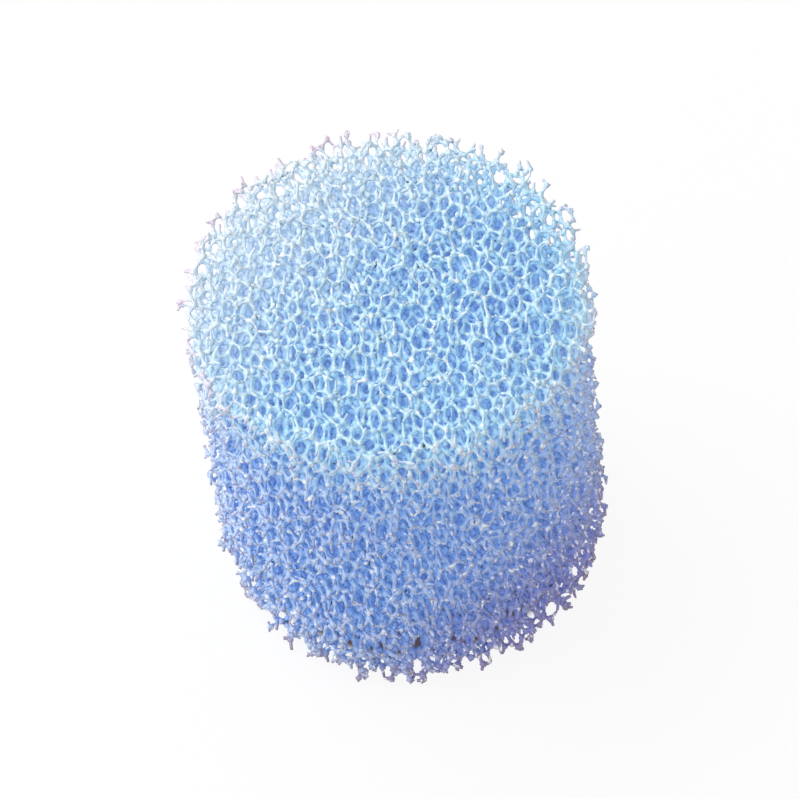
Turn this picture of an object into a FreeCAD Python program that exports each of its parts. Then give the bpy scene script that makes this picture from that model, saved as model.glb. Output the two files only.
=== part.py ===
"""Cylindrical filter sponge: one block of open-cell filter foam.

Millimetres, +Z up. The origin is the centre of the bottom face, so +Z is the block's own axis.
"""

import os

import FreeCAD, Part

# Driving dimensions
BLOCK_DIAMETER = 50.0       # over the cut side, which is also the round chamber that it is pushed into
BLOCK_HEIGHT = 50.0         # between the two cut ends
RIM_RADIUS = 0.8            # how far the strut ends round off along both cut edges

PARTS_FOLDER = "parts"


def make_foam_block():
    """The foam as a closed solid of its true outer shape, with its two rims rounded."""
    blank = Part.makeCylinder(BLOCK_DIAMETER / 2, BLOCK_HEIGHT)
    rims = [edge for edge in blank.Edges if is_rim(edge)]
    return blank.makeFillet(RIM_RADIUS, rims)


def is_rim(edge):
    """A rim is a circle round the axis. The cylinder's other edge is its straight seam."""
    return isinstance(edge.Curve, Part.Circle)


def write_node(name, shape):
    """One STEP file per node, named after it."""
    shape.exportStep(os.path.join(PARTS_FOLDER, name + ".step"))


os.makedirs(PARTS_FOLDER, exist_ok=True)
write_node("foam_block", make_foam_block())
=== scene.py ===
"""Filter sponge: a cylinder of open-cell foam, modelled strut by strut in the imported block's place.

Metres, +Z up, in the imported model's own frame. The foam is grown the way the real one is: cells
are packed, four struts meet wherever four cells meet, and the block is then cut out of the network.
"""

import logging
import math
from dataclasses import astuple, dataclass, field
from enum import Enum
from itertools import combinations, product
from typing import ClassVar, NamedTuple

import bpy
import numpy as np
from mathutils import Matrix, Vector, kdtree


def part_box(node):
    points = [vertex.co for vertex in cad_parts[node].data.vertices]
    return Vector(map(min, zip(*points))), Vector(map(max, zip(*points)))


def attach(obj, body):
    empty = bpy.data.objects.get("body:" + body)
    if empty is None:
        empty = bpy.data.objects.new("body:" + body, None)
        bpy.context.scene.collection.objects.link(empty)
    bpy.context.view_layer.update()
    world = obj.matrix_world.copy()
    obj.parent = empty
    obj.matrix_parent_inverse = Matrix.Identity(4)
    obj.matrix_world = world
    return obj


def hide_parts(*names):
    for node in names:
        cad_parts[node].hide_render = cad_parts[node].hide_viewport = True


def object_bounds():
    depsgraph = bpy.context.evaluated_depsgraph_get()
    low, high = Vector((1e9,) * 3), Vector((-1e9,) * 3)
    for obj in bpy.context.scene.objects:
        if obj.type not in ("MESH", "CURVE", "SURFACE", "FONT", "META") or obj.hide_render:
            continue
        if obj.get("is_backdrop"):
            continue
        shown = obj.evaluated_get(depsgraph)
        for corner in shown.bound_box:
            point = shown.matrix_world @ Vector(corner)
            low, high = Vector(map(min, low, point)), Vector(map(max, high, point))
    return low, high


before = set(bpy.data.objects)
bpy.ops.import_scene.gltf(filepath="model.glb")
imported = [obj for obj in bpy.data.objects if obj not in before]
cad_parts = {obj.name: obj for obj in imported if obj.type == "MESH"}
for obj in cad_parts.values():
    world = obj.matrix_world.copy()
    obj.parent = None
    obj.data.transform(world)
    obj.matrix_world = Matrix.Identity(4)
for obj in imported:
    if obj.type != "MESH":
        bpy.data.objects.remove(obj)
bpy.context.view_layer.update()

log = logging.getLogger("sponge")

MM = 0.001
TINY = 1e-12        # the least that a length is taken to be before something is divided by it
BLACK = (0.0, 0.0, 0.0)
WHITE = (1.0, 1.0, 1.0)


class Trait(Enum):
    """A number that the foam's meshes store at their points, for its finish to read."""

    DEPTH = "depth"     # how deep the point lies in the block, in mm
    TOP = "top"         # how near it is to the upper cut end, from 0 to 1
    EDGE = "edge"       # how much it takes the strut ends' tint round the side, partly painted light at the upper rim, from 0 to 1
    FADE = "painted_light_and_shade"       # how much light is painted on, up to 1, or shade, down to -1


class Sum(Enum):
    """What a Math node works out from its two inputs."""

    ADD = "ADD"
    SUBTRACT = "SUBTRACT"
    MULTIPLY = "MULTIPLY"


# ----------------------------------------------------------------------------------------------
# Shader maths
# ----------------------------------------------------------------------------------------------

class Value:
    """A number that varies over a surface, with the arithmetic of plain numbers."""

    def __init__(self, graph: "Graph", socket: bpy.types.NodeSocket) -> None:
        """Wraps a socket.

        Args:
            graph: The nodes that it belongs to.
            socket: The output that carries the number.
        """
        self.graph = graph
        self.socket = socket

    def _math(self, what: Sum, first: "Value | float", second: "Value | float",
              clamp: bool = False) -> "Value":
        """One Math node.

        Args:
            what: What it works out.
            first: Its first input.
            second: Its second input.
            clamp: Whether the result is kept between 0 and 1.

        Returns:
            The node's result.
        """
        node = self.graph.node("Math", {"operation": what.value, "use_clamp": clamp}, [first, second])
        return Value(self.graph, node.outputs[0])

    def __add__(self, other: "Value | float") -> "Value":
        """self + other."""
        return self._math(Sum.ADD, self, other)

    __radd__ = __add__

    def __sub__(self, other: "Value | float") -> "Value":
        """self - other."""
        return self._math(Sum.SUBTRACT, self, other)

    def __rsub__(self, other: "Value | float") -> "Value":
        """other - self."""
        return self._math(Sum.SUBTRACT, other, self)

    def __mul__(self, other: "Value | float") -> "Value":
        """self * other."""
        return self._math(Sum.MULTIPLY, self, other)

    __rmul__ = __mul__

    def clipped(self) -> "Value":
        """The value kept between 0 and 1."""
        return self._math(Sum.ADD, self, 0.0, clamp=True)

    def rise(self, low: float, high: float) -> "Value":
        """A smooth step.

        Args:
            low: Where the step is still 0.
            high: Where it has reached 1.

        Returns:
            The step, from 0 to 1.
        """
        sockets = {"Value": self, "From Min": low, "From Max": high}
        node = self.graph.node("MapRange", {"interpolation_type": "SMOOTHSTEP"}, sockets)
        return Value(self.graph, node.outputs["Result"])


class Graph:
    """The nodes of one material or of the world."""

    MIX_INPUTS = (0, 6, 7)      # where a Mix node takes its share and its two colours
    MIX_OUTPUT = 2              # where it gives the mixed colour
    NOISE_MEAN = 0.5

    def __init__(self, tree: bpy.types.NodeTree) -> None:
        """Starts from an empty tree.

        Args:
            tree: Its node tree.
        """
        self.tree = tree
        tree.nodes.clear()

    def node(self, kind: str, settings: dict | None = None,
             sockets: dict | list | None = None) -> bpy.types.Node:
        """Adds a node.

        Args:
            kind: The node's type, without its ShaderNode prefix.
            settings: Its properties, such as a Math node's operation, which are set first.
            sockets: Input name or number to a plain value, a Value or an output socket.

        Returns:
            The node.
        """
        made = self.tree.nodes.new("ShaderNode" + kind)
        for name, setting in (settings or {}).items():
            setattr(made, name, setting)
        pairs = sockets.items() if isinstance(sockets, dict) else enumerate(sockets or [])
        for name, given in pairs:
            self._feed(made.inputs[name], given)
        return made

    def _feed(self, socket: bpy.types.NodeSocket, given: object) -> None:
        """Links or sets one input.

        Args:
            socket: The input.
            given: A Value, an output socket, a colour of three numbers or a plain value.
        """
        if isinstance(given, Value):
            self.tree.links.new(given.socket, socket)
        elif isinstance(given, bpy.types.NodeSocket):
            self.tree.links.new(given, socket)
        elif socket.type == "RGBA" and len(given) == 3:
            socket.default_value = (*given, 1.0)
        else:
            socket.default_value = given

    def mix(self, share: Value | float, start: object, end: object) -> bpy.types.NodeSocket:
        """Mixes two colours.

        Args:
            share: How much of the second colour, from 0 to 1.
            start: The first colour, or a socket that carries it.
            end: The second colour, or a socket that carries it.

        Returns:
            The mixed colour's socket.
        """
        sockets = dict(zip(self.MIX_INPUTS, (share, start, end)))
        return self.node("Mix", {"data_type": "RGBA"}, sockets).outputs[self.MIX_OUTPUT]

    def trait(self, trait: Trait) -> Value:
        """A number that the mesh stores at its points."""
        return Value(self, self.node("Attribute", {"attribute_name": trait.value}).outputs["Fac"])

    def noise(self, scale: float, detail: float) -> Value:
        """Noise in the object's own space.

        Args:
            scale: Its features per metre.
            detail: Its octaves.

        Returns:
            The noise, from 0 to 1.
        """
        sockets = {"Vector": self.place(), "Scale": scale, "Detail": detail}
        return Value(self, self.node("TexNoise", {}, sockets).outputs["Fac"])

    def place(self) -> bpy.types.NodeSocket:
        """Where a point lies in its own object's space."""
        return self.node("TexCoord").outputs["Object"]

    def looked_at(self) -> Value:
        """Tells what is looked at from what only lights something.

        Returns:
            1 for what is seen straight, in a gloss or through something clear, else 0.
        """
        rays = self.node("LightPath")
        seen, mirrored, through = (
            Value(self, rays.outputs[f"Is {kind} Ray"]) for kind in ("Camera", "Glossy", "Transmission"))
        return (seen + mirrored + through).clipped()


# ----------------------------------------------------------------------------------------------
# Finishes
# ----------------------------------------------------------------------------------------------

@dataclass(frozen=True)
class Layers:
    """How one part of the foam's skin is coloured, from the cut inwards, darker inwards as painted shade.

    Attributes:
        skin: The outermost struts.
        flesh: The struts behind them.
        deep: The struts inside the block, darkest, as painted shade.
        tip: The thin ends that stick out round the block.
    """

    skin: tuple[float, float, float]
    flesh: tuple[float, float, float]
    deep: tuple[float, float, float]
    tip: tuple[float, float, float]


@dataclass(frozen=True)
class FoamFinish:
    """Blue polyurethane foam, dyed through, with the faint gloss of its struts and painted light and
    shade.

    Attributes:
        side: Colours along the cut side.
        top: Colours along the upper cut end, a paler copy of the side's, which is painted light.
        painted_light: Colour where light is painted on most, paler, towards the sunny side.
        painted_shade: Colour of the painted shade on the side away from the light.
        painted_glow: A painted glow, given as emission, for light that soaks through the struts to deep
            inside the block.
        painted_glint: Colour of painted highlights, small white spots where the skin would glisten.
        flesh_from: Depth at which the flesh has taken over from the skin, in mm.
        deep_from: Depths between which the inside takes over from the flesh, in mm.
        drift: How many slow changes of colour and gloss there are to a metre.
        drift_detail: How many octaves they have.
        drifting: How far those carry the inside nearer to the cut or deeper, in mm.
        painted_light_ramp: How much of the painted light's colour a strut takes at most, on the side and
            on top.
        glints: How many painted highlight spots there are to a metre.
        glint_detail: How many octaves they have.
        glint_range: Between which levels of noise a spot rises.
        roughness: Mean roughness of the struts.
        uneven: How far it drifts from there.
        polish: How much smoother a glistening spot is.
        gloss: Their specular level.
    """

    side: Layers = Layers((0.51, 0.67, 0.95), (0.28, 0.50, 0.88), (0.22, 0.42, 0.81), (0.36, 0.25, 0.36))
    top: Layers = Layers((0.57, 0.80, 0.95), (0.52, 0.81, 0.97), (0.33, 0.55, 0.86), (0.82, 0.56, 0.72))
    painted_light: tuple[float, float, float] = (0.82, 0.89, 0.95)
    painted_shade: tuple[float, float, float] = (0.27, 0.30, 0.68)
    painted_glow: tuple[float, float, float] = (0.03, 0.04, 0.03)
    painted_glint: tuple[float, float, float] = (0.97, 0.97, 0.99)
    flesh_from: float = 2.5
    deep_from: tuple[float, float] = (1.0, 6.0)
    drift: float = 130.0
    drift_detail: float = 3.0
    drifting: float = 2.0
    painted_light_ramp: tuple[float, float] = (0.95, 0.70)
    glints: float = 1250.0
    glint_detail: float = 1.0
    glint_range: tuple[float, float] = (0.62, 0.67)
    roughness: float = 0.26
    uneven: float = 0.4
    polish: float = 0.1
    gloss: float = 0.6

    def material(self) -> bpy.types.Material:
        """Makes the foam's material.

        Returns:
            The material, which reads the numbers that FoamBlock stores at the mesh's points.
        """
        made = bpy.data.materials.new("filter_foam")
        made.use_nodes = True
        graph = Graph(made.node_tree)
        depth, top, edge, painted_light_and_shade = (graph.trait(trait) for trait in Trait)
        drift = graph.noise(self.drift, self.drift_detail) - graph.NOISE_MEAN
        spots = graph.noise(self.glints, self.glint_detail).rise(*self.glint_range)
        inside = (depth + drift * self.drifting).rise(*self.deep_from)
        layers = zip(astuple(self.side), astuple(self.top))
        # Painted light: towards the upper end the top set, a paler copy of the side's colours, takes over.
        skin, flesh, deep, tip = (graph.mix(top, side, upper) for side, upper in layers)
        on_side, on_top = self.painted_light_ramp
        # Painted shade: the colour darkens from skin to flesh to the deep struts inside.
        body = graph.mix(depth.rise(0.0, self.flesh_from), skin, flesh)
        body = graph.mix(inside, body, deep)
        # Painted light: paler towards the sunny side, more on the side than on top.
        body = graph.mix(painted_light_and_shade * (on_side - (on_side - on_top) * top), body, self.painted_light)
        # Painted shade: darker and more violet on the side away from the light.
        body = graph.mix((0 - painted_light_and_shade).clipped(), body, self.painted_shade)
        ends = graph.mix(edge, body, tip)
        # Painted highlights: small white spots in the outer struts' colour.
        glinting = graph.mix(spots * (1 - inside), ends, self.painted_glint)
        shader = graph.node("BsdfPrincipled", {}, {
            "Base Color": glinting,
            "Roughness": self.roughness + drift * self.uneven - spots * self.polish,
            "Specular IOR Level": self.gloss,
            # Painted glow: emission deep inside, for light that soaks through the struts.
            "Emission Color": graph.mix(inside, BLACK, self.painted_glow),
            "Emission Strength": 1.0,
        })
        graph.node("OutputMaterial", {}, {"Surface": shader.outputs[0]})
        return made


@dataclass(frozen=True)
class FloorFinish:
    """A matt white studio sweep that the camera sees as plain white, with the block's shadow kept.

    Attributes:
        foot: Radius of the block's foot, in metres.
        colour: Reflectance of the sweep.
        painted_shadow: Reflectance of a painted shadow beneath the block, seen only through the pores
            along its foot.
        painted_shadow_edge: From where to where the painted shadow ends, in shares of the foot's radius.
        lift: How much of what the camera sees is plain white, where the block's shadow lies.
        clear: From where to where that ground gives way to nothing but white, in the same shares.
    """

    foot: float
    colour: tuple[float, float, float] = (0.88, 0.88, 0.88)
    painted_shadow: tuple[float, float, float] = (0.20, 0.15, 0.14)
    painted_shadow_edge: tuple[float, float] = (0.84, 0.91)
    lift: float = 0.86
    clear: tuple[float, float] = (2.5, 6.0)

    def material(self) -> bpy.types.Material:
        """Makes the sweep's material.

        Returns:
            The material.
        """
        made = bpy.data.materials.new("studio_floor")
        made.use_nodes = True
        graph = Graph(made.node_tree)
        length = graph.node("VectorMath", {"operation": "LENGTH"}, [graph.place()])
        out = Value(graph, length.outputs["Value"])
        # Painted shadow: within the foot the floor turns dark, and the camera sees that, not white.
        outside_painted_shadow = out.rise(*(share * self.foot for share in self.painted_shadow_edge))
        clear = out.rise(*(share * self.foot for share in self.clear))
        white = graph.node("Emission", {}, {"Color": WHITE, "Strength": 1.0})
        matt = graph.node("BsdfDiffuse", {}, {"Color": graph.mix(outside_painted_shadow, self.painted_shadow, self.colour)})
        plain = self.lift + (1 - self.lift) * clear
        share = graph.looked_at() * outside_painted_shadow * plain
        sockets = {0: share, 1: matt.outputs[0], 2: white.outputs[0]}
        graph.node("OutputMaterial", {}, {"Surface": graph.node("MixShader", {}, sockets).outputs[0]})
        return made


# ----------------------------------------------------------------------------------------------
# The foam's network
# ----------------------------------------------------------------------------------------------

def smooth(values: np.ndarray, low: float, high: float) -> np.ndarray:
    """A smooth step.

    Args:
        values: Any numbers.
        low: Where the step is still 0.
        high: Where it has reached 1.

    Returns:
        The step at each of the numbers.
    """
    share = np.clip((values - low) / (high - low), 0, 1)
    return share * share * (3 - 2 * share)


def unit(vectors: np.ndarray) -> np.ndarray:
    """Vectors brought to length 1.

    Args:
        vectors: (..., 3) vectors.

    Returns:
        The unit vectors.
    """
    return vectors / np.maximum(np.linalg.norm(vectors, axis=-1, keepdims=True), TINY)


@dataclass(frozen=True)
class FoamGrade:
    """How coarse and how full the foam is, in metres.

    Attributes:
        cell: Cube root of one cell's volume.
        rise: How much longer a cell is along Y, the way the foam rose, than across.
        strut: From a strut's centre line to its cusps, at its middle.
        web: From a joint of four struts to the web between two of them.
        sway: How far a strut's middle bows out of its straight line.
        ragged: How far the cut wanders from joint to joint, in cells.
        drained: How much thicker the struts are at the lower end, where the liquid foam ran to.
        sump: How high up that reaches.
    """

    cell: float = 2.55 * MM
    rise: float = 1.4
    strut: float = 0.21 * MM
    web: float = 0.47 * MM
    sway: float = 0.08 * MM
    ragged: float = 0.40
    drained: float = 0.27
    sump: float = 14.0 * MM

    @property
    def stretch(self) -> np.ndarray:
        """Factors that turn evenly shaped cells into risen ones."""
        return np.array([1.0, self.rise, 1.0])

    @property
    def pitch(self) -> float:
        """Cube root of a cell's volume before it rises."""
        return self.cell / self.rise ** (1 / 3)


@dataclass(frozen=True)
class CutBlock:
    """The block that is cut out of the network, in metres.

    Attributes:
        radius: Of the round side.
        bottom: Height of the lower cut end.
        top: Height of the upper cut end.
        waist: How far the hand-cut side falls in below the upper end.
        waist_from: Between which heights it has fallen in all the way, in shares of the block's.
        flare: How far its foot stands out where it was cut worst.
        flare_at: Which way that is, in degrees from +X.
        flare_sharp: How sharply it ends to either side.
        flare_high: How high it reaches, in shares of the block's height.
    """

    radius: float
    bottom: float
    top: float
    waist: float = 0.7 * MM
    waist_from: tuple[float, float] = (0.6, 0.8)
    flare: float = 1.0 * MM
    flare_at: float = -85.0
    flare_sharp: int = 4
    flare_high: float = 0.4

    def depth(self, points: np.ndarray) -> np.ndarray:
        """How deep points lie in the block.

        Args:
            points: (n, 3) points.

        Returns:
            Distance to the nearest cut, below 0 outside the block.
        """
        turn = np.arctan2(points[:, 1], points[:, 0]) - math.radians(self.flare_at)
        high = (points[:, 2] - self.bottom) / (self.top - self.bottom)
        facing = np.maximum(0.0, np.cos(turn)) ** self.flare_sharp
        flare = self.flare * facing * (1 - smooth(high, 0.0, self.flare_high))
        low, upper = self.waist_from
        waist = self.waist * smooth(high, 0.0, low) * (1 - smooth(high, upper, 1.0))
        side = self.radius + flare - waist - np.hypot(points[:, 0], points[:, 1])
        ends = np.minimum(points[:, 2] - self.bottom, self.top - points[:, 2])
        return np.minimum(side, ends)

    def random_points(self, spare: float, cell: float, dice: np.random.Generator) -> np.ndarray:
        """Scatters cell centres over the block and some way round it.

        Args:
            spare: How far they reach past the block.
            cell: Cube root of one cell's volume.
            dice: The source of chance.

        Returns:
            (n, 3) points.
        """
        reach = self.radius + spare
        tall = self.top - self.bottom + 2 * spare
        count = round(math.pi * reach ** 2 * tall / cell ** 3)
        turn = dice.uniform(0, 2 * math.pi, count)
        out = reach * np.sqrt(dice.uniform(0, 1, count))
        high = dice.uniform(self.bottom - spare, self.top + spare, count)
        return np.stack([out * np.cos(turn), out * np.sin(turn), high], axis=1)

    def confine(self, points: np.ndarray, spare: float) -> None:
        """Brings points that have drifted out back to the edge of the block and its surround.

        Args:
            points: (n, 3) points, changed in place.
            spare: How far the surround reaches.
        """
        reach = self.radius + spare
        out = np.hypot(points[:, 0], points[:, 1])
        points[:, :2] *= np.minimum(1.0, reach / np.maximum(out, TINY))[:, None]
        np.clip(points[:, 2], self.bottom - spare, self.top + spare, out=points[:, 2])


def nearest(points: np.ndarray, count: int) -> np.ndarray:
    """Finds each point's nearest neighbours.

    Args:
        points: (n, 3) points.
        count: How many neighbours to find.

    Returns:
        (n, count) numbers of points, nearest first, without the point itself.
    """
    tree = kdtree.KDTree(len(points))
    for number, point in enumerate(points.tolist()):
        tree.insert(point, number)
    tree.balance()
    found = [[hit[1] for hit in tree.find_n(point, count + 1)] for point in points.tolist()]
    return np.array(found)[:, 1:]


@dataclass
class CellPacking:
    """Cell centres that have pushed each other apart, as the bubbles of rising foam do.

    Attributes:
        block: The block that they fill.
        grade: The foam's sizes.
        dice: The source of chance.
        spare: How far the packing reaches past the block, in cells.
        rounds: How often the centres push.
        renewed: After how many rounds each centre finds its neighbours anew.
        crowd: How many neighbours it then finds.
        reach: How far a centre pushes, in cells.
        push: How far two centres that meet would jump apart, in that reach.
    """

    block: CutBlock
    grade: FoamGrade
    dice: np.random.Generator
    spare: float = 1.9
    rounds: int = 30
    renewed: int = 3
    crowd: int = 16
    reach: float = 1.3
    push: float = 0.22

    def centres(self) -> np.ndarray:
        """Packs the cells.

        Returns:
            (n, 3) cell centres.
        """
        spare = self.spare * self.grade.cell
        points = self.block.random_points(spare, self.grade.cell, self.dice)
        reach = self.reach * self.grade.pitch
        for turn in range(self.rounds):
            even = points / self.grade.stretch
            if turn % self.renewed == 0:
                near = nearest(even, self.crowd)
            gap = even[:, None, :] - even[near]
            far = np.linalg.norm(gap, axis=2, keepdims=True)
            push = np.maximum(0.0, 1.0 - far / reach) * gap / np.maximum(far, TINY)
            points = points + self.push * reach * push.sum(axis=1) * self.grade.stretch
            self.block.confine(points, spare)
        return points


class StrutNetwork:
    """The joints where four cells meet, and the struts where three cells meet.

    Attributes:
        joints: (m, 3) places of the joints.
        cells: (m, 4) the four cells at each joint, in rising order.
        beside: (m, 4) the joint at the far end of each joint's four struts, or -1. Strut k runs
            between the three cells that are left when the joint's cell k is taken away.
        turned: (m,) 1 or -1, the way round in which each joint's four cells stand.
        ends: (n, 2) the two joints of each strut.
        slots: (n, 2) which of its joint's four struts it is, at either end.
    """

    NEIGHBOURS = 30         # of a cell, among which the other three of a joint are sought
    CELLS_AT_ONCE = 400     # searched together
    WIDEST = 1.05           # distance of a joint from its four cells' centres, in cells
    FLATTEST = 1e-6         # volume of the smallest four-cell group that still counts, in cells
    SLACK = 1e-5            # of an equal distance, for rounding

    def __init__(self, centres: np.ndarray, grade: FoamGrade) -> None:
        """Finds the joints and struts.

        Args:
            centres: (n, 3) cell centres.
            grade: The foam's sizes.
        """
        even = centres / grade.stretch
        self.cells, places = self._find_joints(even, grade.pitch)
        self.joints = places * grade.stretch
        corner = centres[self.cells]
        side = corner[:, 1:] - corner[:, :1]
        self.turned = np.sign(np.einsum("ij,ij->i", side[:, 0], np.cross(side[:, 1], side[:, 2])))
        self._link(len(centres))

    def _find_joints(self, centres: np.ndarray, cell: float) -> tuple[np.ndarray, np.ndarray]:
        """Finds every point that is equally far from four centres and nearer to no other.

        Args:
            centres: (n, 3) cell centres.
            cell: Cube root of one cell's volume.

        Returns:
            The four cells of each joint, and its place.
        """
        near = nearest(centres, self.NEIGHBOURS)
        trios = np.array(list(combinations(range(self.NEIGHBOURS), 3)))
        cells, places = [], []
        for start in range(0, len(centres), self.CELLS_AT_ONCE):
            own = np.arange(start, min(start + self.CELLS_AT_ONCE, len(centres)))
            later = near[own] > own[:, None]
            row, trio = np.nonzero(later[:, trios[:, 0]] & later[:, trios[:, 1]] & later[:, trios[:, 2]])
            first = own[row]
            others = near[first[:, None], trios[trio]]
            a, b, c = (centres[others[:, k]] - centres[first] for k in range(3))
            bc, ca, ab = np.cross(b, c), np.cross(c, a), np.cross(a, b)
            volume = 2 * np.einsum("ij,ij->i", a, bc)
            volume = np.where(np.abs(volume) < self.FLATTEST * cell ** 3, np.nan, volume)
            reach = [np.einsum("ij,ij->i", side, side)[:, None] for side in (a, b, c)]
            middle = (reach[0] * bc + reach[1] * ca + reach[2] * ab) / volume[:, None]
            radius = np.linalg.norm(middle, axis=1)
            small = np.nonzero(radius < self.WIDEST * cell)[0]
            first, others, middle, radius = first[small], others[small], middle[small], radius[small]
            around = centres[near[first]] - centres[first][:, None]
            gap = np.linalg.norm(around - middle[:, None], axis=2)
            empty = (gap > radius[:, None] * (1 - self.SLACK)).all(axis=1)
            cells.append(np.column_stack([first, others])[empty])
            places.append((centres[first] + middle)[empty])
        return np.sort(np.vstack(cells), axis=1), np.vstack(places)

    def _link(self, cell_count: int) -> None:
        """Joins the joints that share three cells.

        Args:
            cell_count: How many cells there are.
        """
        count = len(self.cells)
        trios = [np.delete(self.cells, k, axis=1).astype(np.int64) for k in range(4)]
        keys = np.concatenate([(t[:, 0] * cell_count + t[:, 1]) * cell_count + t[:, 2] for t in trios])
        order = np.argsort(keys, kind="stable")
        same = np.nonzero(keys[order][1:] == keys[order][:-1])[0]
        pair = np.stack([order[same], order[same + 1]], axis=1)
        self.ends, self.slots = pair % count, pair // count
        self.beside = np.full((count, 4), -1)
        self.beside[self.ends[:, 0], self.slots[:, 0]] = self.ends[:, 1]
        self.beside[self.ends[:, 1], self.slots[:, 1]] = self.ends[:, 0]

    @property
    def whole(self) -> np.ndarray:
        """Which joints have all four struts."""
        return (self.beside >= 0).all(axis=1)

    def settle(self, rounds: int, pull: float) -> None:
        """Lets the struts even out their lengths, as surface tension does while foam sets.

        Args:
            rounds: How often they pull.
            pull: How far towards its neighbours' middle a joint moves each time, from 0 to 1.
        """
        whole = self.whole
        for _ in range(rounds):
            middle = self.joints[self.beside[whole]].mean(axis=1)
            self.joints[whole] += pull * (middle - self.joints[whole])


# ----------------------------------------------------------------------------------------------
# The struts' surface
# ----------------------------------------------------------------------------------------------

WEB_CELLS = list(combinations(range(4), 2))     # the two of a joint's cells that each web lies between


class Corner:
    """How the four cells, the four struts and the six webs of a joint belong together.

    Attributes:
        OF_STRUT: The three webs round each strut. The strut's own cell is the one it points away from.
        OF_CELL: The three webs that face each cell.
        STRUT_TURN: 1 or -1, which way round the webs of each strut are listed.
        CELL_TURN: 1 or -1, which way round the webs of each cell are listed.
    """

    OF_STRUT = np.array([[web for web, cells in enumerate(WEB_CELLS) if k not in cells] for k in range(4)])
    OF_CELL = np.array([[web for web, cells in enumerate(WEB_CELLS) if k in cells] for k in range(4)])
    STRUT_TURN = np.array([-1, 1, -1, 1])
    CELL_TURN = (1, -1, 1, -1)


class Faces:
    """Faces of a surface, gathered group by group.

    Attributes:
        points: (m, 4) points of each face, the last one -1 in a triangle.
        owner: (m,) the strut or joint that each face belongs to.
        patch: (m, 4, 2) where each corner lies in its owner's patch, from 0 to 1.
        wedge: (m,) the wedge that each face goes to.
    """

    def __init__(self) -> None:
        """Starts with no faces."""
        self.groups: list[tuple[np.ndarray, ...]] = []

    def add(self, points: np.ndarray, owner: np.ndarray, patch: np.ndarray, wedge: np.ndarray,
            flip: np.ndarray) -> None:
        """Adds a group of faces that all have three or all have four corners.

        Args:
            points: (n, 3) or (n, 4) points of each face.
            owner: (n,) the strut or joint it belongs to.
            patch: (4, 2) where its corners lie in its owner's patch.
            wedge: (n,) the wedge it goes to.
            flip: (n,) whether it is turned inside out.
        """
        sides = points.shape[1]
        order = np.where(flip[:, None], np.arange(sides)[::-1], np.arange(sides))
        corners = np.full((len(points), 4), -1)
        corners[:, :sides] = np.take_along_axis(points, order, axis=1)
        places = np.repeat(patch[None], len(points), axis=0)
        places[:, :sides] = patch[order]
        self.groups.append((corners, owner, places, wedge))

    def whole(self) -> "Faces":
        """Joins the groups.

        Returns:
            The faces themselves.
        """
        joined = [np.concatenate(part) for part in zip(*self.groups)]
        self.points, self.owner, self.patch, self.wedge = joined
        return self


@dataclass
class Strands:
    """The surface of a strut network that has been cut to a block.

    Attributes:
        points: (n, 3) places.
        depth: (n,) how deep each point lies, in metres.
        stray: (n,) 1 at the free ends of cut struts, else 0.
        faces: The faces between them.
    """

    points: np.ndarray
    depth: np.ndarray
    stray: np.ndarray
    faces: Faces


class Cut(NamedTuple):
    """The struts that a cut leaves. Each starts at a joint that stays.

    Attributes:
        ends: (n, 2) the joints at its start and end.
        slots: (n, 2) which of its joint's four struts it is, at its start and end.
        free: (n,) whether it was cut through, so that its end hangs free.
    """

    ends: np.ndarray
    slots: np.ndarray
    free: np.ndarray


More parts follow.
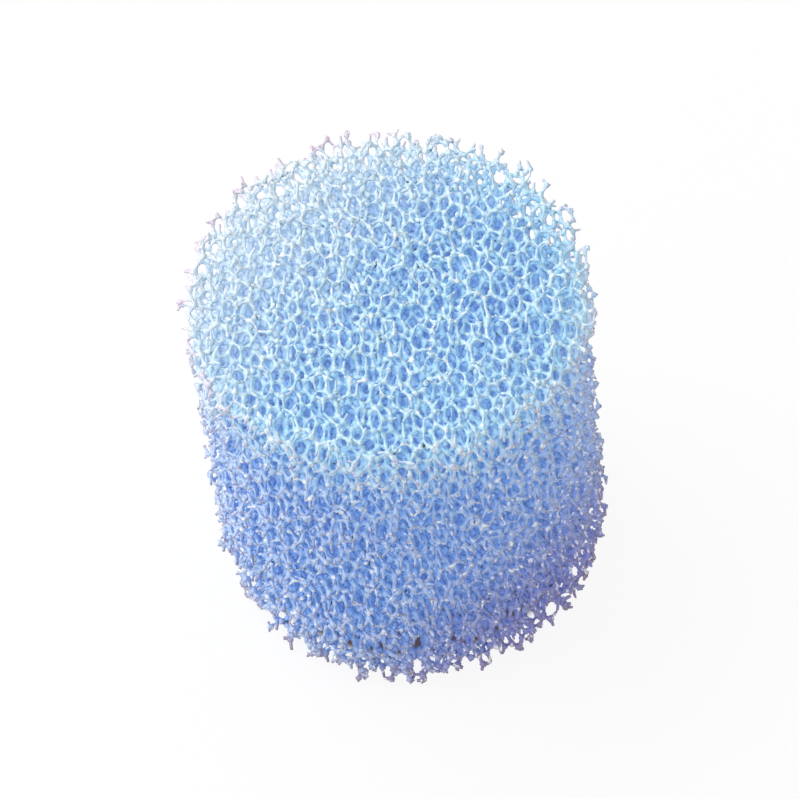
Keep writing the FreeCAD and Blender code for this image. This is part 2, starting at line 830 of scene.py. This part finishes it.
class StrutCutter:
    """Cuts a block out of a network and gives its struts their surface."""

    THICKEST = (0.85, 1.15)     # of the grade's strut
    CUT_END = (0.45, 1.0)       # a cut end's thickness, of its strut's
    PAST = (-0.10, 0.38)        # how far a cut strut reaches past the cut, in cells
    PART = (0.75, 0.9, 0.96)    # least length of a cut strut, in webs, and its usual and greatest share
    WEB_SHARE = 0.78            # the most of a strut that a web may take up
    CLEARANCE = (1.2, 2.0)      # of a cut end above the foot, in struts and in sways
    RINGS = ((0.34, 0.9), (0.66, 0.9), (1.0, 2.0))      # place along a strut, and times its bow there
    CAP_PATCH = np.array([(0.05, 0.05), (0.95, 0.05), (0.5, 0.95), (0.5, 0.95)])

    def __init__(self, network: StrutNetwork, block: CutBlock, grade: FoamGrade, sectors: int,
                 dice: np.random.Generator) -> None:
        """Makes the cut.

        Args:
            network: The uncut network.
            block: The block to cut.
            grade: The foam's sizes.
            sectors: Into how many wedges the surface is divided.
            dice: The source of chance.
        """
        self.network = network
        self.block = block
        self.grade = grade
        self.sectors = sectors
        self.dice = dice
        low = 1 - smooth(network.joints[:, 2], block.bottom, block.bottom + grade.sump)
        self.fullness = 1 + grade.drained * low
        self.kept = self._kept_joints()
        self.struts = self._kept_struts()
        self.webs = self._webs()

    def _kept_joints(self) -> np.ndarray:
        """Chooses the joints inside a ragged cut that hang together with the block's middle.

        Returns:
            (m,) whether each joint stays.
        """
        net, block, grade = self.network, self.block, self.grade
        ragged = grade.ragged * grade.cell * self.dice.uniform(-1.0, 1.0, len(net.joints))
        standing = net.joints[:, 2] - block.bottom > grade.web * self.fullness
        inside = net.whole & (block.depth(net.joints) > ragged) & standing
        reached = np.zeros(len(inside), dtype=bool)
        reached[np.argmax(block.depth(net.joints))] = True
        count = 0
        while count < reached.sum():
            count = reached.sum()
            reached |= inside & reached[net.beside].any(axis=1)
        return reached

    def _kept_struts(self) -> Cut:
        """Chooses the struts that start at a kept joint.

        Returns:
            The struts.
        """
        keep = self.kept[self.network.ends]
        ends, slots = self.network.ends.copy(), self.network.slots.copy()
        swap = ~keep[:, 0] & keep[:, 1]
        ends[swap], slots[swap] = ends[swap][:, ::-1], slots[swap][:, ::-1]
        used = keep.any(axis=1)
        return Cut(ends[used], slots[used], ~keep.all(axis=1)[used])

    def _webs(self) -> np.ndarray:
        """Places the six points of each joint that lie in the webs between two struts.

        Returns:
            (m, 6, 3) points.
        """
        net = self.network
        spans = net.joints[net.beside] - net.joints[:, None]
        lengths = np.linalg.norm(spans, axis=2)
        directions = unit(spans)
        out = np.empty((len(net.joints), 6, 3))
        for web, cells in enumerate(WEB_CELLS):
            first, second = (k for k in range(4) if k not in cells)
            bisector = unit(directions[:, first] + directions[:, second])
            shorter = np.minimum(lengths[:, first], lengths[:, second])
            reach = np.minimum(self.grade.web * self.fullness, self.WEB_SHARE * shorter)
            out[:, web] = net.joints + reach[:, None] * bisector
        return out

    def _wedge(self, points: np.ndarray) -> np.ndarray:
        """Finds which wedge of the block points lie in.

        Args:
            points: (n, 3) points.

        Returns:
            (n,) numbers of wedges.
        """
        turn = np.arctan2(points[:, 1], points[:, 0]) / (2 * math.pi) % 1.0
        return np.minimum((turn * self.sectors).astype(int), self.sectors - 1)

    def _shares(self, near: np.ndarray, far: np.ndarray, length: np.ndarray) -> np.ndarray:
        """How much of each strut the cut leaves.

        Args:
            near: (n, 3) the struts' starts.
            far: (n, 3) their ends.
            length: (n,) their lengths.

        Returns:
            (n,) shares of the lengths, 1 where a strut wasn't cut.
        """
        grade, block = self.grade, self.block
        webs, usual, greatest = self.PART
        depth_near, depth_far = block.depth(near), block.depth(far)
        past = self.dice.uniform(*self.PAST, len(near)) * grade.cell
        share = (depth_near + past) / np.maximum(depth_near - depth_far, TINY)
        share = np.where(depth_near > depth_far, share, usual)
        full = self.fullness[self.struts.ends[:, 0]]
        clearance = self.CLEARANCE[0] * grade.strut * full + self.CLEARANCE[1] * grade.sway
        above = near[:, 2] - block.bottom - clearance
        floor = above / np.maximum(near[:, 2] - far[:, 2], TINY)
        share = np.where(far[:, 2] < near[:, 2], np.minimum(share, floor), share)
        least = np.minimum(usual, webs * grade.web / length)
        return np.where(self.struts.free, np.clip(share, least, greatest), 1.0)

    def cut(self) -> Strands:
        """Gives the cut struts and joints their surface.

        Returns:
            The surface.
        """
        net, grade, dice = self.network, self.grade, self.dice
        ends, slots, free = self.struts
        count = len(ends)
        near, far = net.joints[ends[:, 0]], net.joints[ends[:, 1]]
        length = np.linalg.norm(far - near, axis=1)
        axis = (far - near) / length[:, None]
        web_near, web_far = Corner.OF_STRUT[slots[:, 0]], Corner.OF_STRUT[slots[:, 1]]
        from_near = self.webs[ends[:, :1], web_near] - near[:, None]
        from_far = self.webs[ends[:, 1:], web_far] - far[:, None]
        spoke = from_near + from_far
        spoke = unit(spoke - (spoke * axis[:, None]).sum(axis=2, keepdims=True) * axis[:, None])

        share = self._shares(near, far, length)
        thick = grade.strut * dice.uniform(*self.THICKEST, count) * self.fullness[ends[:, 0]]
        aside = np.cross(axis, unit(dice.normal(size=(count, 3))))
        bow = aside * grade.sway * dice.uniform(0, 1, (count, 1))
        narrow = thick * dice.uniform(*self.CUT_END, count)

        def ring(along: float, radius: np.ndarray, bend: float) -> np.ndarray:
            """Three points round each strut.

            Args:
                along: How far along what is left of the strut, from 0 to 1.
                radius: (n,) distance of the points from the centre line.
                bend: How many times the strut's bow the centre line lies aside there.

            Returns:
                (3 n, 3) points.
            """
            centre = near + axis * (length * share * along)[:, None] + bow * bend
            return (centre[:, None] + spoke * radius[:, None, None]).reshape(-1, 3)

        radii = (thick, thick, narrow)
        rings = [ring(along, radius, bend) for (along, bend), radius in zip(self.RINGS, radii)]
        points = np.vstack([self.webs.reshape(-1, 3), *rings])
        number = np.arange(count)[:, None] * 3 + np.arange(3)
        starts = [self.webs.shape[0] * 6 + 3 * count * k for k in range(3)]
        first = ends[:, :1] * 6 + web_near
        last = np.where(free[:, None], starts[2] + number, ends[:, 1:] * 6 + web_far)
        sleeves = [first, starts[0] + number, starts[1] + number, last]

        depth = self.block.depth(points)
        stray = np.zeros(len(points))
        stray[starts[2]:] = np.repeat(free, 3)
        middle = near + axis * (length * share * 0.5)[:, None]
        return Strands(points, depth, stray, self._faces(sleeves, self._wedge(middle)))

    def _faces(self, sleeves: list[np.ndarray], strut_wedge: np.ndarray) -> Faces:
        """Joins the rings to faces.

        Args:
            sleeves: The four rings of each strut, from its start to its end.
            strut_wedge: (n,) the wedge of each strut.

        Returns:
            The faces.
        """
        net = self.network
        ends, slots, free = self.struts
        count = len(ends)
        struts = np.arange(count)
        hand = net.turned[ends[:, 0]] * Corner.STRUT_TURN[slots[:, 0]]
        faces = Faces()
        levels = len(sleeves) - 1
        for level, side in product(range(levels), range(3)):
            lower, upper, following = sleeves[level], sleeves[level + 1], (side + 1) % 3
            corners = [lower[:, side], lower[:, following], upper[:, following], upper[:, side]]
            quads = np.stack(corners, axis=1)
            left, right, low, high = side / 3, (side + 1) / 3, level / levels, (level + 1) / levels
            patch = np.array([(left, low), (right, low), (right, high), (left, high)])
            faces.add(quads, struts, patch, strut_wedge, hand < 0)
        faces.add(sleeves[-1][free], struts[free], self.CAP_PATCH, strut_wedge[free], hand[free] < 0)

        joints = np.nonzero(self.kept)[0]
        joint_wedge = self._wedge(net.joints)
        for cell in range(4):
            trio = joints[:, None] * 6 + Corner.OF_CELL[cell]
            sign = net.turned[joints] * Corner.CELL_TURN[cell]
            faces.add(trio, count + joints, self.CAP_PATCH, joint_wedge[joints], sign > 0)

        for end, (ring, outward) in enumerate([(sleeves[0], 1), (sleeves[-1], -1)]):
            joint = ends[:, end]
            split = (joint_wedge[joint] != strut_wedge) & ~(free & (end == 1))
            meeting = joint[split]
            facing = (hand * outward)[split]
            faces.add(ring[split], count + meeting, self.CAP_PATCH, joint_wedge[meeting], facing < 0)
            faces.add(ring[split], struts[split], self.CAP_PATCH, strut_wedge[split], facing > 0)
        return faces.whole()


# ----------------------------------------------------------------------------------------------
# The sub-assembly and its studio
# ----------------------------------------------------------------------------------------------

@dataclass
class FoamBlock:
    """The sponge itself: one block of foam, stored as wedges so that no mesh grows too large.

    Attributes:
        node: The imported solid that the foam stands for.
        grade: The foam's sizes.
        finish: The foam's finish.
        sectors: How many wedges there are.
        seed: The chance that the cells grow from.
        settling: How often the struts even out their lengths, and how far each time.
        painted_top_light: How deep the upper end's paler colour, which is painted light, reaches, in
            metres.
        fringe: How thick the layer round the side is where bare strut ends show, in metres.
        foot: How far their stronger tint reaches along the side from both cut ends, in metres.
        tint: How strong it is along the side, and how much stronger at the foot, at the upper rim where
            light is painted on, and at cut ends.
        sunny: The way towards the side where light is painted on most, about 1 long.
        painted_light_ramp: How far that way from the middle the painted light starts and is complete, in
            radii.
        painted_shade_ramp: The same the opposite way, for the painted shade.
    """

    MAP_EDGE: ClassVar[float] = 0.12    # bare margin of each strut's square in the map, in squares

    node: str = "foam_block"
    grade: FoamGrade = field(default_factory=FoamGrade)
    finish: FoamFinish = field(default_factory=FoamFinish)
    sectors: int = 10
    seed: int = 11
    settling: tuple[int, float] = (3, 0.5)
    painted_top_light: float = 17.0 * MM
    fringe: float = 1.4 * MM
    foot: float = 4.0 * MM
    tint: tuple[float, float, float, float] = (0.12, 0.80, 0.60, 0.75)
    sunny: tuple[float, float, float] = (-0.6, 0.6, 0.5)
    painted_light_ramp: tuple[float, float] = (0.30, 1.25)
    painted_shade_ramp: tuple[float, float] = (0.6, 1.4)

    def block(self) -> CutBlock:
        """The cut block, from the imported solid's corners."""
        low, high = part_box(self.node)
        return CutBlock((high[0] - low[0]) / 2, low[2], high[2])

    def build(self) -> list[bpy.types.Object]:
        """Grows, cuts and dresses the foam.

        Returns:
            The wedges.
        """
        dice = np.random.default_rng(self.seed)
        block = self.block()
        centres = CellPacking(block, self.grade, dice).centres()
        network = StrutNetwork(centres, self.grade)
        network.settle(*self.settling)
        strands = StrutCutter(network, block, self.grade, self.sectors, dice).cut()
        material = self.finish.material()
        wedges = []
        for number in range(self.sectors):
            mesh = self._mesh(strands, number, block)
            mesh.materials.append(material)
            wedges.append(self._wedge(mesh))
        return wedges

    def _wedge(self, mesh: bpy.types.Mesh) -> bpy.types.Object:
        """Makes one wedge a piece of the foam block.

        Args:
            mesh: The wedge's mesh.

        Returns:
            The wedge, riding on its body.
        """
        wedge = bpy.data.objects.new(mesh.name, mesh)
        bpy.context.scene.collection.objects.link(wedge)
        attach(wedge, "root")
        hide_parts(self.node)
        log.info("%s: %d faces", wedge.name, len(mesh.polygons))
        return wedge

    def _mesh(self, strands: Strands, number: int, block: CutBlock) -> bpy.types.Mesh:
        """Makes the mesh of one wedge.

        Args:
            strands: The whole surface.
            number: Which wedge.
            block: The block it is cut from.

        Returns:
            The mesh, with its traits and its map.
        """
        faces = strands.faces
        mine = np.nonzero(faces.wedge == number)[0]
        quads = faces.points[mine]
        sizes = np.where(quads[:, 3] < 0, 3, 4)
        used = quads >= 0
        numbers, local = np.unique(quads[used], return_inverse=True)
        mesh = bpy.data.meshes.new(f"foam_wedge_{number + 1}")
        mesh.vertices.add(len(numbers))
        mesh.vertices.foreach_set("co", strands.points[numbers].astype(np.float32).ravel())
        mesh.loops.add(int(sizes.sum()))
        mesh.loops.foreach_set("vertex_index", local.astype(np.int32))
        mesh.polygons.add(len(mine))
        starts = np.concatenate([[0], np.cumsum(sizes)[:-1]])
        mesh.polygons.foreach_set("loop_start", starts.astype(np.int32))
        mesh.polygons.foreach_set("use_smooth", np.ones(len(mine), dtype=bool))
        for trait, values in self._traits(strands, numbers, block).items():
            layer = mesh.attributes.new(trait.value, "FLOAT", "POINT")
            layer.data.foreach_set("value", values.astype(np.float32))
        self._map(mesh, faces, mine, used)
        mesh.update(calc_edges=True)
        mesh.validate()
        return mesh

    def _traits(self, strands: Strands, numbers: np.ndarray, block: CutBlock) -> dict[Trait, np.ndarray]:
        """Works out what the finish reads at some of the surface's points.

        Args:
            strands: The whole surface.
            numbers: (n,) which points.
            block: The block it is cut from.

        Returns:
            (n,) numbers for each trait.
        """
        points = strands.points[numbers]
        middle = (0, 0, (block.bottom + block.top) / 2)
        lit = (points - middle) @ np.array(self.sunny) / block.radius
        outer = smooth(np.hypot(points[:, 0], points[:, 1]), block.radius - self.fringe, block.radius)
        low = 1 - smooth(points[:, 2], block.bottom, block.bottom + self.foot)
        # The end tint also grows at the upper rim where light is painted on.
        high = smooth(points[:, 2], block.top - self.foot, block.top) * smooth(lit, *self.painted_light_ramp)
        along, at_foot, at_top, at_ends = self.tint
        tint = along + at_foot * low + at_top * high + at_ends * strands.stray[numbers]
        return {
            Trait.DEPTH: strands.depth[numbers] / MM,
            # How far the upper end's paler colours, painted light, have taken over.
            Trait.TOP: smooth(points[:, 2], block.top - self.painted_top_light, block.top),
            Trait.EDGE: outer * np.minimum(1.0, tint),
            # Painted light towards the sunny side, up to 1, and painted shade away from it, down to -1.
            Trait.FADE: smooth(lit, *self.painted_light_ramp) - smooth(-lit, *self.painted_shade_ramp),
        }

    def _map(self, mesh: bpy.types.Mesh, faces: Faces, mine: np.ndarray, used: np.ndarray) -> None:
        """Lays every strut and joint out in a small square of its own.

        Args:
            mesh: The wedge's mesh.
            faces: The whole surface's faces.
            mine: Which of them are the wedge's.
            used: (m, 4) which corners those faces have.
        """
        owners, place = np.unique(faces.owner[mine], return_inverse=True)
        across = math.ceil(math.sqrt(len(owners)))
        square = np.stack([place % across, place // across], axis=1)[:, None]
        spots = (square + self.MAP_EDGE + (1 - 2 * self.MAP_EDGE) * faces.patch[mine]) / across
        layer = mesh.uv_layers.new(name="OFBake")
        layer.data.foreach_set("uv", spots[used].astype(np.float32).ravel())


@dataclass(frozen=True)
class Lamp:
    """One square lamp that faces the block.

    Attributes:
        name: Its name.
        place: Where it hangs, in metres.
        size: Its side, in metres.
        power: Its power, in watts.
        soaks: Whether its light soaks through the translucent foam, which then casts it no shadow.
    """

    name: str
    place: tuple[float, float, float]
    size: float
    power: float
    soaks: bool = True

    def build(self, opaque: bpy.types.Collection) -> None:
        """Hangs the lamp.

        Args:
            opaque: What casts a shadow even where the light soaks through foam.
        """
        data = bpy.data.lights.new(self.name, "AREA")
        data.size = self.size
        data.energy = self.power
        lamp = bpy.data.objects.new(self.name, data)
        lamp.location = self.place
        lamp.rotation_euler = (-Vector(self.place)).to_track_quat("-Z", "Y").to_euler()
        if self.soaks:
            lamp.light_linking.blocker_collection = opaque
        bpy.context.scene.collection.objects.link(lamp)


@dataclass
class Studio:
    """A white sweep, soft lamps and a long lens looking down on the block.

    Attributes:
        node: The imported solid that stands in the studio.
        lamps: One lamp with shadows, and those whose light soaks through the foam.
        surround: How bright the white round it all shines on the block, where 1 is white.
        bounces: How often light is passed on between struts before it is lost.
        half: Half the side of the floor, in metres.
        distance: From the lens to the block's middle.
        elevation: Of the lens above the horizon, in degrees.
        roll: By how much the block leans left in the view, in degrees.
        focal: Focal length for a 36 mm wide film, in mm.
        clip: Nearest and farthest distance that the lens sees.
        aim: How far right of and above the view's middle the block's own middle lies, in metres.
    """

    node: str = "foam_block"
    lamps: tuple[Lamp, ...] = (
        Lamp("key", (-0.35, 0.30, 0.70), size=0.45, power=2.2, soaks=False),
        Lamp("soak_front", (-0.15, -0.50, 0.60), size=0.10, power=1.25),
        Lamp("soak_left", (-0.60, 0.0, 0.30), size=0.50, power=1.9),
        Lamp("soak_right", (0.45, 0.20, 0.55), size=0.50, power=0.60),
        Lamp("soak_back", (-0.10, 0.60, 0.35), size=0.50, power=1.2),
    )
    surround: float = 0.40
    bounces: int = 12
    half: float = 3.0
    distance: float = 0.5
    elevation: float = 54.8
    roll: float = 7.0
    focal: float = 178.2
    clip: tuple[float, float] = (0.01, 20.0)
    aim: tuple[float, float] = (0.00006, -0.00088)

    def build(self) -> None:
        """Sets up floor, light and camera."""
        bpy.context.scene.view_settings.view_transform = "Standard"
        bpy.context.scene.cycles.diffuse_bounces = self.bounces
        floor = self._floor()
        opaque = bpy.data.collections.new("opaque")
        opaque.objects.link(floor)
        for lamp in self.lamps:
            lamp.build(opaque)
        self._surround()
        self._camera()
        log.info("studio: %s, %d lamps and the camera", floor.name, len(self.lamps))

    def _floor(self) -> bpy.types.Object:
        """Lays the wide floor that the block stands on.

        Returns:
            The floor.
        """
        low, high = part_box(self.node)
        finish = FloorFinish(foot=(high[0] - low[0]) / 2)
        corners = [(x * self.half, y * self.half, low[2]) for x, y in ((-1, -1), (1, -1), (1, 1), (-1, 1))]
        mesh = bpy.data.meshes.new("studio_floor")
        mesh.from_pydata(corners, [], [(0, 1, 2, 3)])
        mesh.materials.append(finish.material())
        floor = bpy.data.objects.new("studio_floor", mesh)
        bpy.context.scene.collection.objects.link(floor)
        floor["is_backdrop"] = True
        return floor

    def _surround(self) -> None:
        """A plain white surround, which shines on the block less than it looks."""
        world = bpy.data.worlds.new("surround")
        bpy.context.scene.world = world
        world.use_nodes = True
        graph = Graph(world.node_tree)
        strength = self.surround + (1 - self.surround) * graph.looked_at()
        plain = graph.node("Background", {}, {"Color": WHITE, "Strength": strength})
        graph.node("OutputWorld", {}, {"Surface": plain.outputs[0]})

    def _camera(self) -> None:
        """The camera, rolled so that the block leans as it should."""
        low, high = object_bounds()
        middle = (low + high) / 2
        tilt, lean = math.radians(self.elevation), math.radians(self.roll)
        back = Vector((0, -math.cos(tilt), math.sin(tilt)))
        right = Vector((1, 0, 0))
        over = back.cross(right)
        across = math.cos(lean) * right - math.sin(lean) * over
        upward = math.sin(lean) * right + math.cos(lean) * over
        data = bpy.data.cameras.new("camera")
        data.lens = self.focal
        data.clip_start, data.clip_end = self.clip
        camera = bpy.data.objects.new("camera", data)
        turn = Matrix((across, upward, back)).transposed().to_4x4()
        place = middle + back * self.distance - across * self.aim[0] - upward * self.aim[1]
        camera.matrix_world = Matrix.Translation(place) @ turn
        bpy.context.scene.collection.objects.link(camera)
        bpy.context.scene.camera = camera


def main() -> None:
    """Builds the sponge and its studio."""
    logging.basicConfig(level=logging.INFO, format="%(message)s")
    Studio().build()
    wedges = FoamBlock().build()
    log.info("foam block: %d wedges", len(wedges))


if __name__ == "__main__":
    main()
